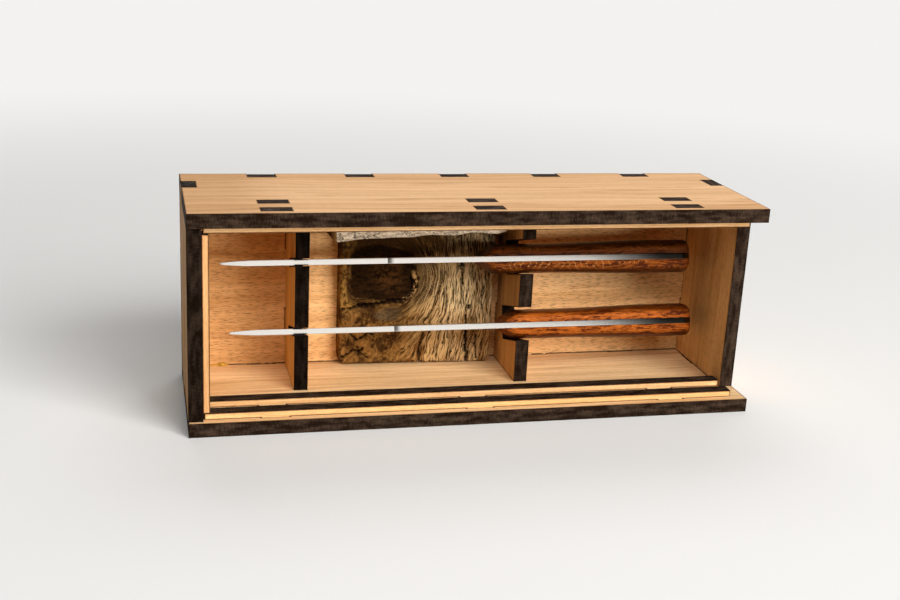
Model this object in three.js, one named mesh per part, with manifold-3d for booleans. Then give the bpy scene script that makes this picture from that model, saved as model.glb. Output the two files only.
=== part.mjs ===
// Knife display case: a box of laser-cut wooden sheets, held together by tabs in slots.
// Two dividers carry a pair of table knives, and a block of old wood stands behind the blades.
// Millimetres, +X along the case, front towards -Y, +Z up, origin at the middle of the underside.

import * as THREE from 'three';
import { mergeVertices } from 'three/addons/utils/BufferGeometryUtils.js';
import Module from 'manifold-3d';

const wasm = await Module();
wasm.setup();

// Sheets, tabs and slots
const sheet = 6.375;
const innerHeight = 86;
const tabLength = 12.7;
const tabPlay = 0.15;
const fitGap = 0.3;
const railTabs = 3;
const backTabs = 5;
const tabInset = 31.125;
const endTabInset = 15;
const sideTabPitch = 43;

// Front frame: outer rails, lid groove, inner rails and stop strip
const frontMargin = 4;
const railHeight = 3;
const grooveWidth = 6.625;
const innerRailSetback = 1;
const railEndGap = 0.6;
const leftEndSetback = 2;
const stopStripWidth = 3;
const stopStripPlay = 0.4;

// Dividers and the room around them
const railToDivider = 10.125;
const dividerWeb = 9.5;
const backMargin = 1.25;
const bladeBay = 42.625;
const handleGrip = 4.625;

// Knives: all of both, then what differs between the two
const knifeLength = 225.4;
const tipGap = 9.8;
const buttGap = 12.05;
const knifeTilt = THREE.MathUtils.degToRad(16);
const spineRecess = 3.5;
const slotPlay = 1;
const notchPlay = 1.7;
const knifeSpacing = 33;
const knifeRise = 0.9;
const upperHandleLength = 103.8;
const lowerHandleLength = 95.9;
const lowerKnifeShift = 4.2;

// Blade
const bladeStock = 2.8;
const bladeHeight = 20;
const groundLength = 75.5;
const plungeLength = 4;
const tipDrop = 4;
const edgeThickness = 0.3;
const tipHeight = 0.6;
const edgeSweep = 2.2;
const bevelHeight = 10;
const scoopWidth = 3;
const scoopDepth = 1;

// Handle
const handleThickness = 14;
const handleHeight = 22;
const handleSwell = 1;
const waistDepth = 1.5;
const heelDrop = 1.5;
const heelLength = 12;
const frontSwellEnd = 30;
const rearSwellEnd = 12;
const frontTaper = 6;
const scaleLip = 0.6;
const buttRadius = 4;
const buttEdgeRadius = 2.5;
const rivetDiameter = 4;
const rivetInset = 18;
const rivetCount = 3;

// Wood block
const blockLeftGap = 18.4;
const blockRightGap = 4.5;
const blockSlant = 2.7;
const ledgeSetback = 9;
const ledgeOverhang = 5.9;
const ledgeClearLeft = 0.9;
const ledgeClearRight = 4.8;
const ledgeUndercut = 2;
const ledgeBow = 0.7;
const ledgeRipple = 0.45;
const longRipple = 19;
const shortRipple = 23;

// Lengths and heights of the box
const innerLength = tipGap + knifeLength + buttGap;
const caseLength = innerLength + 2 * sheet;
const caseHeight = innerHeight + 2 * sheet;
const floorZ = sheet;
const ceilingZ = caseHeight - sheet;
const innerLeft = -innerLength / 2;
const innerRight = innerLength / 2;

// Depths, from the front to the back: the dividers are as deep as the handles' notches ask for
const tiltCos = Math.cos(knifeTilt);
const tiltSin = Math.sin(knifeTilt);
const notchReach = spineRecess + (handleHeight + fitGap) * tiltCos
  + (handleThickness / 2 + notchPlay) * tiltSin;
const dividerDepth = notchReach + dividerWeb;
const caseDepth = frontMargin + sheet + grooveWidth + innerRailSetback + sheet + railToDivider
  + dividerDepth + sheet + backMargin;
const frontY = -caseDepth / 2;
const outerRailY = frontY + frontMargin;
const rightEndY = outerRailY + sheet + grooveWidth;
const innerRailY = rightEndY + innerRailSetback;
const dividerY = innerRailY + sheet + railToDivider;
const backPanelY = dividerY + dividerDepth;
const leftEndY = frontY + leftEndSetback;
const endTabY = backPanelY - endTabInset;

// Places along the case: the handle divider stands just behind the front of the shorter handle
const bladeTip = innerLeft + tipGap;
const upperButtX = bladeTip + knifeLength;
const lowerButtX = upperButtX + lowerKnifeShift;
const bladeDividerX = innerLeft + bladeBay;
const handleDividerX = lowerButtX - lowerHandleLength + handleGrip;
const middleZ = (floorZ + ceilingZ) / 2;
const sideTabHeights = [middleZ - sideTabPitch / 2, middleZ + sideTabPitch / 2];

// The two knives, each with the place of its butt on the line of its spine
const knives = [
  {
    name: 'upper_knife',
    handleLength: upperHandleLength,
    buttX: upperButtX,
    spineZ: middleZ + knifeRise + knifeSpacing / 2,
  },
  {
    name: 'lower_knife',
    handleLength: lowerHandleLength,
    buttX: lowerButtX,
    spineZ: middleZ + knifeRise - knifeSpacing / 2,
  },
];
const spineY = dividerY + spineRecess;

// Finishes
const beech = new THREE.MeshStandardMaterial({ color: 0xd8ab78, roughness: 0.7, metalness: 0 });
const charredBeech = new THREE.MeshStandardMaterial({ color: 0x9a7350, roughness: 0.75, metalness: 0 });
const steel = new THREE.MeshStandardMaterial({ color: 0xcfcdc8, roughness: 0.3, metalness: 1 });
const darkHandleWood = new THREE.MeshStandardMaterial({ color: 0x6b3418, roughness: 0.45, metalness: 0 });
const redHandleWood = new THREE.MeshStandardMaterial({ color: 0x96451a, roughness: 0.45, metalness: 0 });
const oldWood = new THREE.MeshStandardMaterial({ color: 0x8a6a44, roughness: 0.9, metalness: 0 });

const knifeCase = new THREE.Group();

// Adds a named piece to a group
function addPiece(parent, name, geometry, material) {
  const mesh = new THREE.Mesh(geometry, material.clone());
  mesh.name = name;
  parent.add(mesh);
  return mesh;
}

// Solids for cutting and joining
function toSolid(geometry) {
  const bare = geometry.clone();
  bare.deleteAttribute('normal');
  bare.deleteAttribute('uv');
  const merged = mergeVertices(bare);
  return new wasm.Manifold(new wasm.Mesh({
    numProp: 3,
    vertProperties: new Float32Array(merged.attributes.position.array),
    triVerts: new Uint32Array(merged.index.array),
  }));
}

function toGeometry(solid) {
  const mesh = solid.getMesh();
  const geometry = new THREE.BufferGeometry();
  geometry.setAttribute('position', new THREE.BufferAttribute(new Float32Array(mesh.vertProperties), 3));
  geometry.setIndex(new THREE.BufferAttribute(new Uint32Array(mesh.triVerts), 1));
  geometry.computeVertexNormals();
  return geometry;
}

function cut(geometry, tools) {
  let solid = toSolid(geometry);
  for (const tool of tools) {
    solid = solid.subtract(toSolid(tool));
  }
  return toGeometry(solid);
}

// A closed skin over sections with equal numbers of points, each section lying across the X axis
function loft(sections) {
  const around = sections[0].length;
  const last = (sections.length - 1) * around;
  const indices = [];
  for (let i = 0; i < sections.length - 1; i += 1) {
    for (let j = 0; j < around; j += 1) {
      const a = i * around + j;
      const b = i * around + (j + 1) % around;
      indices.push(a, b, a + around, b, b + around, a + around);
    }
  }
  const flat = (section) => section.map((point) => new THREE.Vector2(point.y, point.z));
  for (const [a, b, c] of THREE.ShapeUtils.triangulateShape(flat(sections[0]), [])) {
    indices.push(c, b, a);
  }
  for (const [a, b, c] of THREE.ShapeUtils.triangulateShape(flat(sections.at(-1)), [])) {
    indices.push(last + a, last + b, last + c);
  }
  const geometry = new THREE.BufferGeometry().setFromPoints(sections.flat());
  geometry.setIndex(indices);
  geometry.computeVertexNormals();
  return geometry;
}

// Tabs stick out of an edge, and notches take the tabs of the neighbour
function tab(at) {
  return { at, width: tabLength, reach: sheet };
}

function notch(at, depth) {
  return { at, width: tabLength + 2 * tabPlay, reach: -(depth + tabPlay) };
}

// Tab places in an even row along the case
function tabRow(count) {
  const first = innerLeft + tabInset;
  const last = innerRight - tabInset;
  return Array.from({ length: count }, (_, i) => first + (last - first) * i / (count - 1));
}

// Outline of a sheet, counterclockwise, with tabs and notches on its four edges
function sheetOutline(left, right, low, high, { onLow = [], onRight = [], onHigh = [], onLeft = [] }) {
  const points = [];
  function followEdge(start, end, features, place) {
    const way = Math.sign(end - start);
    const ordered = [...features].sort((a, b) => way * (a.at - b.at));
    points.push(place(start, 0));
    for (const { at, width, reach } of ordered) {
      const enter = at - way * width / 2;
      const leave = at + way * width / 2;
      points.push(place(enter, 0), place(enter, reach), place(leave, reach), place(leave, 0));
    }
  }
  followEdge(left, right, onLow, (along, out) => new THREE.Vector2(along, low - out));
  followEdge(low, high, onRight, (along, out) => new THREE.Vector2(right + out, along));
  followEdge(right, left, onHigh, (along, out) => new THREE.Vector2(along, high + out));
  followEdge(high, low, onLeft, (along, out) => new THREE.Vector2(left - out, along));
  return points;
}

// The tool that cuts a slot right through a sheet for a tab of the given width and height
function slotTool(x, y, width, height) {
  const tool = new THREE.BoxGeometry(width + 2 * tabPlay, height + 2 * tabPlay, 2 * sheet);
  tool.translate(x, y, sheet / 2);
  return tool;
}

function cutSheet(outline, slots = []) {
  const plain = new THREE.ExtrudeGeometry(new THREE.Shape(outline), { depth: sheet, bevelEnabled: false });
  return cut(plain, slots);
}

// A sheet drawn in X and Z stands along the case, with its back face at y
function standAlong(mesh, y) {
  mesh.rotation.set(Math.PI / 2, 0, 0);
  mesh.position.y = y;
}

// A sheet drawn in Y and Z stands across the case, with its left face at x
function standAcross(mesh, x) {
  mesh.rotation.set(Math.PI / 2, Math.PI / 2, 0);
  mesh.position.x = x;
}

// Top and bottom: the same sheet twice
function coverSheet() {
  const outline = sheetOutline(-caseLength / 2, caseLength / 2, frontY, -frontY, {
    onHigh: tabRow(backTabs).map((x) => notch(x, backMargin + sheet)),
    onLeft: [notch(endTabY, sheet)],
    onRight: [notch(endTabY, sheet)],
  });
  const slots = [];
  for (const railY of [outerRailY, innerRailY]) {
    for (const x of tabRow(railTabs)) {
      slots.push(slotTool(x, railY + sheet / 2, tabLength, sheet));
    }
  }
  return cutSheet(outline, slots);
}

function addTopAndBottom() {
  addPiece(knifeCase, 'bottom_panel', coverSheet(), beech);
  const top = addPiece(knifeCase, 'top_panel', coverSheet(), beech);
  top.position.z = ceilingZ;
}

// Back panel, with slots for the dividers' tabs and notches for the end panels' tabs
function addBackPanel() {
  const outline = sheetOutline(-caseLength / 2, caseLength / 2, floorZ, ceilingZ, {
    onLow: tabRow(backTabs).map(tab),
    onHigh: tabRow(backTabs).map(tab),
    onLeft: sideTabHeights.map((z) => notch(z, sheet)),
    onRight: sideTabHeights.map((z) => notch(z, sheet)),
  });
  const slots = [];
  for (const x of [bladeDividerX, handleDividerX]) {
    for (const z of sideTabHeights) {
      slots.push(slotTool(x + sheet / 2, z, sheet, tabLength));
    }
  }
  standAlong(addPiece(knifeCase, 'back_panel', cutSheet(outline, slots), beech), backPanelY + sheet);
}

// End panels: the left one reaches past the lid groove, the right one leaves the groove open
function addEndPanels() {
  const ends = [
    { name: 'left_end_panel', x: -caseLength / 2, front: leftEndY },
    { name: 'right_end_panel', x: innerRight, front: rightEndY },
  ];
  for (const { name, x, front } of ends) {
    const outline = sheetOutline(front, backPanelY, floorZ, ceilingZ, {
      onLow: [tab(endTabY)],
      onHigh: [tab(endTabY)],
      onRight: sideTabHeights.map(tab),
    });
    standAcross(addPiece(knifeCase, name, cutSheet(outline), beech), x);
  }
}

// Rails: strips with their cut edge facing into the case and their tabs in the top or bottom
function addRails() {
  const left = innerLeft + railEndGap;
  const right = innerRight - railEndGap;
  for (const [row, y] of [['outer', outerRailY], ['inner', innerRailY]]) {
    const low = sheetOutline(left, right, floorZ, floorZ + railHeight, { onLow: tabRow(railTabs).map(tab) });
    const high = sheetOutline(left, right, ceilingZ - railHeight, ceilingZ, {
      onHigh: tabRow(railTabs).map(tab),
    });
    standAlong(addPiece(knifeCase, `bottom_${row}_rail`, cutSheet(low), beech), y + sheet);
    standAlong(addPiece(knifeCase, `top_${row}_rail`, cutSheet(high), beech), y + sheet);
  }
}

// Stop strip: upright between the outer rails, against the left end panel
function addStopStrip() {
  const low = floorZ + railHeight;
  const high = ceilingZ - railHeight - stopStripPlay;
  const outline = sheetOutline(innerLeft, innerLeft + stopStripWidth, low, high, {});
  const strip = addPiece(knifeCase, 'stop_strip', cutSheet(outline), beech);
  standAlong(strip, outerRailY + sheet);
}

// A point of the Y and Z plane given from a knife's spine: along its blade and square to it
function besideKnife(spineZ, along, above) {
  return new THREE.Vector2(
    spineY + along * tiltCos + above * tiltSin,
    spineZ - along * tiltSin + above * tiltCos,
  );
}

// Height at which a plane along the knife, lying above its middle, passes a given y
function knifePlaneZ(spineZ, above, y) {
  const along = (y - spineY - above * tiltSin) / tiltCos;
  return besideKnife(spineZ, along, above).y;
}

// A divider: the knife rests on the lower wall of each opening and against its end
function dividerSheet(halfThickness, play, reach) {
  const outline = sheetOutline(dividerY, backPanelY, floorZ, ceilingZ, { onRight: sideTabHeights.map(tab) });
  const top = halfThickness + play;
  const low = -(halfThickness + fitGap);
  const end = reach + fitGap;
  for (const { spineZ } of knives) {
    outline.push(
      new THREE.Vector2(dividerY, knifePlaneZ(spineZ, top, dividerY)),
      besideKnife(spineZ, end, top),
      besideKnife(spineZ, end, low),
      new THREE.Vector2(dividerY, knifePlaneZ(spineZ, low, dividerY)),
    );
  }
  return cutSheet(outline);
}

function addDividers() {
  const bladeSlots = dividerSheet(bladeStock / 2, slotPlay, bladeHeight);
  const handleNotches = dividerSheet(handleThickness / 2, notchPlay, handleHeight);
  standAcross(addPiece(knifeCase, 'blade_divider', bladeSlots, charredBeech), bladeDividerX);
  standAcross(addPiece(knifeCase, 'handle_divider', handleNotches, charredBeech), handleDividerX);
}

// How far a round corner of the given radius cuts in, at a distance from the end
function cornerCut(distance, radius) {
  if (distance >= radius) {
    return 0;
  }
  return radius - Math.sqrt(radius ** 2 - (radius - distance) ** 2);
}

// Handle outline at a distance from the butt: the spine side and the belly side
function handleSides(fromButt, length) {
  const corner = cornerCut(fromButt, buttRadius);
  const waist = (fromButt - rearSwellEnd) / (length - frontSwellEnd - rearSwellEnd);
  const heel = (fromButt - (length - heelLength)) / heelLength;
  let belly = handleHeight;
  if (waist > 0 && waist < 1) {
    belly -= waistDepth * Math.sin(Math.PI * waist) ** 2;
  }
  if (heel > 0) {
    belly -= heelDrop * heel ** 2;
  }
  return { spine: corner, belly: belly - corner };
}

// Thickness of one handle scale: thin at the front end, fuller towards the butt
const scaleThickness = (handleThickness - bladeStock) / 2 - fitGap;

function scaleRise(fromButt, length) {
  const swell = THREE.MathUtils.smoothstep(length - frontSwellEnd - fromButt, 0, length / 2);
  const taper = Math.sin(Math.PI / 2 * Math.min(1, (length - fromButt) / frontTaper));
  const full = (scaleThickness + handleSwell * swell) * taper;
  return Math.max(scaleLip, full - cornerCut(fromButt, buttEdgeRadius));
}

// Stations along a handle, closer together at both ends
const handleStations = 26;

function stationsFromButt(length) {
  return Array.from({ length: handleStations + 1 }, (_, i) => (
    length / 2 * (1 + Math.cos(Math.PI * i / handleStations))
  ));
}

function rivetPlaces(length) {
  const pitch = (length - 2 * rivetInset) / (rivetCount - 1);
  return Array.from({ length: rivetCount }, (_, i) => rivetInset + i * pitch);
}

// A rod through the handle, square to the blade, as the rivet or as the tool for its hole
const rivetSides = 24;

function rivetRod(fromButt, length, radius, rodLength) {
  const { spine, belly } = handleSides(fromButt, length);
  const rod = new THREE.CylinderGeometry(radius, radius, rodLength, rivetSides);
  rod.rotateX(Math.PI / 2);
  rod.translate(-fromButt, (spine + belly) / 2, 0);
  return rod;
}

function rivetHoles(length) {
  const radius = rivetDiameter / 2 + fitGap;
  return rivetPlaces(length).map((fromButt) => rivetRod(fromButt, length, radius, 2 * handleThickness));
}

// Blade and tang: a section is a wedge on the ground part and a plain bar on the rest
function bladeSection(x, spine, edge, spineHalf, edgeHalf) {
  return [
    new THREE.Vector3(x, spine, spineHalf),
    new THREE.Vector3(x, spine, -spineHalf),
    new THREE.Vector3(x, edge, -edgeHalf),
    new THREE.Vector3(x, edge, edgeHalf),
  ];
}

const groundStations = 14;
const groundCrowding = 1.4;

function groundSection(fromTip) {
  const share = fromTip / groundLength;
  const spine = tipDrop * (1 - share) ** 2;
  const edge = tipDrop + tipHeight + (bladeHeight - tipDrop - tipHeight) * (1 - (1 - share) ** edgeSweep);
  const spineHalf = bladeStock / 2 * Math.min(1, (edge - spine) / bevelHeight);
  const edgeHalf = Math.min(edgeThickness / 2, spineHalf);
  return bladeSection(fromTip - knifeLength, spine, edge, spineHalf, edgeHalf);
}

function knifeBlade(length) {
  const half = bladeStock / 2;
  const sections = [];
  for (let i = 0; i <= groundStations; i += 1) {
    sections.push(groundSection(groundLength * (i / groundStations) ** groundCrowding));
  }
  sections.push(bladeSection(groundLength + plungeLength - knifeLength, 0, bladeHeight, half, half));
  sections.push(bladeSection(-length - fitGap, 0, bladeHeight, half, half));
  for (const fromButt of stationsFromButt(length)) {
    const { spine, belly } = handleSides(fromButt, length);
    sections.push(bladeSection(-fromButt, spine, belly, half, half));
  }
  const scoopRadius = ((scoopWidth / 2) ** 2 + scoopDepth ** 2) / (2 * scoopDepth);
  const scoop = new THREE.CylinderGeometry(scoopRadius, scoopRadius, 2 * bladeStock, rivetSides);
  scoop.rotateX(Math.PI / 2);
  scoop.translate(groundLength + scoopWidth / 2 - knifeLength, scoopDepth - scoopRadius, 0);
  return cut(loft(sections), [scoop, ...rivetHoles(length)]);
}

// Handle scale: flat against the tang, rounded outside
const scalePoints = 12;
const scaleRoundness = 0.67;

function handleScale(length, side) {
  const inner = bladeStock / 2 + fitGap;
  const sections = stationsFromButt(length).map((fromButt) => {
    const { spine, belly } = handleSides(fromButt, length);
    const rise = scaleRise(fromButt, length);
    return Array.from({ length: scalePoints }, (_, i) => {
      const angle = Math.PI * i / (scalePoints - 1);
      const across = Math.sign(Math.cos(angle)) * Math.abs(Math.cos(angle)) ** scaleRoundness;
      const up = Math.abs(Math.sin(angle)) ** scaleRoundness;
      return new THREE.Vector3(
        -fromButt,
        (spine + belly) / 2 + side * across * (belly - spine) / 2,
        side * (inner + rise * up),
      );
    });
  });
  return cut(loft(sections), rivetHoles(length));
}

function addKnife({ name, handleLength, buttX, spineZ }, handleWood) {
  const knife = new THREE.Group();
  knife.position.set(buttX, spineY, spineZ);
  knife.rotation.x = -knifeTilt;
  addPiece(knife, `${name}_blade`, knifeBlade(handleLength), steel);
  addPiece(knife, `${name}_upper_scale`, handleScale(handleLength, 1), handleWood);
  addPiece(knife, `${name}_lower_scale`, handleScale(handleLength, -1), handleWood);
  rivetPlaces(handleLength).forEach((fromButt, i) => {
    const rodLength = bladeStock + 2 * (fitGap + scaleRise(fromButt, handleLength));
    const rivet = rivetRod(fromButt, handleLength, rivetDiameter / 2, rodLength);
    addPiece(knife, `${name}_rivet_${i + 1}`, rivet, steel);
  });
  knifeCase.add(knife);
}

// Wood block: a slab behind the knives, and a weathered ledge that overhangs the upper blade
const ledgeStations = 28;

function blockSlab(left, right, faceY, backY) {
  const outline = [
    new THREE.Vector2(left, faceY + blockSlant),
    new THREE.Vector2(right, faceY),
    new THREE.Vector2(right, backY),
    new THREE.Vector2(left, backY),
  ];
  const height = ceilingZ - fitGap - floorZ;
  const slab = new THREE.ExtrudeGeometry(new THREE.Shape(outline), { depth: height, bevelEnabled: false });
  slab.translate(0, 0, floorZ);
  return slab;
}

function blockLedge(left, right, ledgeY, backY) {
  const handleTop = knifePlaneZ(knives[0].spineZ, handleThickness / 2, ledgeY);
  const sections = [];
  for (let i = 0; i <= ledgeStations; i += 1) {
    const share = i / ledgeStations;
    const x = THREE.MathUtils.lerp(left, right, share);
    const wave = Math.sin(2 * Math.PI * x / longRipple) + Math.sin(2 * Math.PI * x / shortRipple + 1);
    const ripple = ledgeRipple * wave / 2;
    const clear = THREE.MathUtils.lerp(ledgeClearLeft, ledgeClearRight, share ** ledgeBow);
    const low = handleTop + clear + ripple;
    sections.push([
      new THREE.Vector3(x, ledgeY + ledgeRipple + ripple, low),
      new THREE.Vector3(x, backY, low - ledgeUndercut),
      new THREE.Vector3(x, backY, ceilingZ - fitGap),
      new THREE.Vector3(x, ledgeY + ledgeRipple - ripple, ceilingZ - fitGap),
    ]);
  }
  return loft(sections);
}

function addWoodBlock() {
  const left = bladeDividerX + sheet + blockLeftGap;
  const right = handleDividerX - blockRightGap;
  const faceY = dividerY + notchReach;
  const backY = backPanelY - fitGap;
  const slab = toSolid(blockSlab(left, right, faceY, backY));
  const ledge = toSolid(blockLedge(left - ledgeOverhang, right, dividerY + ledgeSetback, backY));
  addPiece(knifeCase, 'wood_block', toGeometry(slab.add(ledge)), oldWood);
}

addTopAndBottom();
addBackPanel();
addEndPanels();
addRails();
addStopStrip();
addDividers();
addKnife(knives[0], darkHandleWood);
addKnife(knives[1], redHandleWood);
addWoodBlock();

export default knifeCase;
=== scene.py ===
"""A display case of slotted beech sheets, its two table knives and its block of old wood."""

from math import pi, radians

import bmesh
import bpy
import numpy as np
from bpy.props import FloatProperty, FloatVectorProperty, IntProperty, PointerProperty
from mathutils import Matrix, Vector


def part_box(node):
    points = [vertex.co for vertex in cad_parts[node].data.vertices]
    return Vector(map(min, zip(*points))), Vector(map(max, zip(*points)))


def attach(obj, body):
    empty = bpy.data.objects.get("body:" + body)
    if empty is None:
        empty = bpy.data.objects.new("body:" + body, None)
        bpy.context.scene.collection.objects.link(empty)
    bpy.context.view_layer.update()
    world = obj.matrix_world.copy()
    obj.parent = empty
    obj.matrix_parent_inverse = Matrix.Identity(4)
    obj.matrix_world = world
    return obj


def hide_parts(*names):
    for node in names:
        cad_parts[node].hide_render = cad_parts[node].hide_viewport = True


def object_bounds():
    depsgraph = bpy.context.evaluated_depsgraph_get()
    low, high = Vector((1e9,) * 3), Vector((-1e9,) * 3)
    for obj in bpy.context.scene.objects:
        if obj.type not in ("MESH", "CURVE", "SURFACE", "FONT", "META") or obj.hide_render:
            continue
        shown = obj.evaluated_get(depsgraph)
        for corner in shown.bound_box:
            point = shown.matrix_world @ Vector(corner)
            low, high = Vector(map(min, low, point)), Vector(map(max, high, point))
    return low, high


bl_info = {
    "name": "Knife display case",
    "version": (1, 0, 0),
    "blender": (4, 5, 0),
    "location": "View3D > Sidebar > Knife case",
    "description": "Builds a slotted display case with two table knives and a block of old wood",
    "category": "Add Mesh",
}

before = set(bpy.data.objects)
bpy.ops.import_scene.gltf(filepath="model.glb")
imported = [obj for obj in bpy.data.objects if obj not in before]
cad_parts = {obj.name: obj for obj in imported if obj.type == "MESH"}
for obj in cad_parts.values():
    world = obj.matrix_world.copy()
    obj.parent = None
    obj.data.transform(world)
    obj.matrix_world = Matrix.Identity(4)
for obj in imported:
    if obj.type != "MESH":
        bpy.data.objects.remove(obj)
case_low, case_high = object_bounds()

MM = 0.001
KNIFE_TILT = radians(16)
KNIVES = ("upper_knife", "lower_knife")
# Play of the CAD's slots above the blades
SLOT_PLAY = 1 * MM

# Piece, CAD node, then the axes along the grain, across it and through the sheet
PANELS = (
    ("case_top", "top_panel", "XYZ"),
    ("case_bottom", "bottom_panel", "XYZ"),
    ("case_back", "back_panel", "XZY"),
    ("case_left_end", "left_end_panel", "ZYX"),
    ("case_right_end", "right_end_panel", "ZYX"),
)
DIVIDERS = (
    ("case_blade_divider", "blade_divider", "ZYX"),
    ("case_handle_divider", "handle_divider", "ZYX"),
)
RAILS = (
    ("case_top_outer_rail", "top_outer_rail", "XZY"),
    ("case_bottom_outer_rail", "bottom_outer_rail", "XZY"),
    ("case_top_inner_rail", "top_inner_rail", "XZY"),
    ("case_bottom_inner_rail", "bottom_inner_rail", "XZY"),
    ("case_stop_strip", "stop_strip", "ZXY"),
)
# Colour of a sheet against the others
TINTS = {
    "case_top": (1.04, 1.0, 1.12), "case_bottom": (1.09, 1.14, 1.25),
    "case_back": (1.09, 1.03, 0.96), "case_right_end": (1.08, 1.08, 0.96),
    # The top outer rail's pale tint is painted light, on a strip that the top's overhang shades
    "case_top_outer_rail": (1.1, 1.2, 1.35), "case_bottom_outer_rail": (1.0, 0.93, 0.84),
    # The dividers' darker, oranger tints are partly painted shade
    "case_stop_strip": (0.84, 0.75, 0.69), "case_blade_divider": (0.82, 0.75, 0.54),
    "case_handle_divider": (0.91, 0.79, 0.61),
}
# How strongly a sheet's short dark flecks and its long fine lines show
FLECKS = {"case_back": 1.0, "case_top": 0.2, "case_bottom": 0.25, "case_right_end": 0.55}
LINES = {"case_back": 1.2, "case_top": 1.3, "case_bottom": 2.4}
# Where along X, in millimetres, the painted shade, browner and darker, at a sheet's left end begins
# and is full
LEFT_END_SHADE = {"case_back": (-66, -92), "case_top": (-78, -112)}
# Height in millimetres of a seam whose burnt edge shows as a broken dark line
SEAMS = {"case_back": 6.5, "case_right_end": 6.5}
# How dark the cut edges of these sheets are drawn, against those of most sheets
EDGE_DARKNESS = {"case_blade_divider": 0.25, "case_left_end": 0.5, "case_handle_divider": 0.7}

# Cracks in the face of the block: points in X and Z, then the half width, all in millimetres
BLOCK_CRACKS = (
    (((-56.0, 35.2), (-50.0, 35.5), (-47.0, 36.9)), 0.35),
    (((-47.0, 36.9), (-40.0, 37.3), (-36.6, 37.9), (-31.0, 38.9), (-25.0, 38.9)), 0.95),
    (((-25.0, 38.9), (-21.5, 41.5), (-20.6, 46.0), (-21.5, 50.5)), 0.38),
    (((3.2, 58.2), (3.4, 56.4)), 1.15),
    (((3.4, 56.4), (3.9, 51.0), (4.4, 47.0)), 0.34),
    (((7.7, 35.6), (7.9, 35.0)), 0.95),
    (((6.7, 31.5), (6.9, 26.0), (7.5, 16.0), (7.8, 6.4)), 0.55),
    (((6.9, 24.5), (7.4, 12.0)), 0.85),
    (((-14.4, 22.5), (-16.3, 14.7), (-15.8, 6.4)), 0.38),
    (((11.8, 21.0), (12.5, 14.0), (12.9, 8.4)), 0.32),
    (((-54.5, 10.5), (-51.5, 12.0), (-48.5, 14.5), (-46.0, 13.0), (-44.0, 15.0)), 0.5),
    (((-50.5, 22.5), (-47.5, 19.5), (-44.5, 20.5), (-41.5, 23.0), (-39.0, 21.8)), 0.45),
    (((-47.0, 16.0), (-44.5, 12.0), (-41.5, 10.0)), 0.3),
    (((-4.5, 54.0), (-6.5, 47.0), (-9.0, 40.5)), 0.26),
    (((-1.0, 34.0), (-2.5, 27.0), (-2.2, 20.0)), 0.24),
    (((14.5, 44.0), (14.0, 38.0), (15.0, 33.5)), 0.3),
)


# ---- Settings ----


def length(name, description, default):
    return FloatProperty(
        name=name, description=description, default=default, unit="LENGTH", precision=5
    )


def colour(name, description, default):
    return FloatVectorProperty(
        name=name, description=description, default=default, subtype="COLOR", min=0, max=1
    )


def level(name, description, default):
    return FloatProperty(name=name, description=description, default=default, min=0)


class SheetSettings(bpy.types.PropertyGroup):
    edge_rounding: length("Edge rounding", "Width of the worn edges of a sheet", 0.12 * MM)
    scorch_width: length("Scorch width", "Width of the brown rim beside a cut edge", 0.7 * MM)
    slot_play: length("Slot play", "Play of a blade in its slot, above it", 0.4 * MM)
    light_wood: colour("Light wood", "Pale bands of the beech", (0.90, 0.59, 0.29))
    deep_wood: colour("Deep wood", "Darker bands of the beech", (0.62, 0.345, 0.132))
    figure: colour("Figure", "Smoky patches in the beech", (0.46, 0.205, 0.072))
    fleck: colour("Fleck", "Short dark flecks in the beech", (0.21, 0.080, 0.022))
    scorch: colour("Scorch", "Brown rim beside a cut edge", (0.26, 0.105, 0.032))
    seam: colour("Seam", "Burnt line where a sheet meets the floor", (0.030, 0.012, 0.004))
    char: colour("Char", "Burnt surface of the cut edges", (0.0125, 0.0062, 0.0034))
    char_sheen: colour("Char sheen", "Greyer streaks on the cut edges", (0.060, 0.040, 0.027))
    ember: colour("Ember", "Browner spots on the cut edges", (0.085, 0.036, 0.018))


class KnifeSettings(bpy.types.PropertyGroup):
    stock: length("Stock", "Thickness of the blade and tang", 2.8 * MM)
    height: length("Blade height", "Height of the blade from spine to edge", 20 * MM)
    ground: length("Ground length", "Length of the ground part of the blade", 75.5 * MM)
    scoop_width: length("Scoop width", "Width of the scoop in the spine", 3.8 * MM)
    scoop_depth: length("Scoop depth", "Depth of the scoop in the spine", 0.9 * MM)
    handle_height: length("Handle height", "Height of the handle from spine to belly", 22 * MM)
    rivet: length("Rivet", "Diameter of a rivet", 4 * MM)
    rivets: IntProperty(name="Rivets", description="Rivets through a handle", default=3, min=2)
    steel: colour("Steel", "Satin steel of blades and rivets", (0.98, 0.935, 0.87))
    # Painted dark reflections: in the scoop, and on the tang towards the butt
    scoop_reflection: colour("Worn steel", "Dull steel in the scoop", (0.10, 0.09, 0.075))
    tang_reflection: colour("Dark tang", "Stained steel at the butt", (0.022, 0.018, 0.012))
    dark_handle: colour("Dark handle", "Oiled wood of the upper knife", (0.27, 0.066, 0.0080))
    red_handle: colour("Red handle", "Oiled wood of the lower knife", (0.36, 0.083, 0.009))


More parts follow.
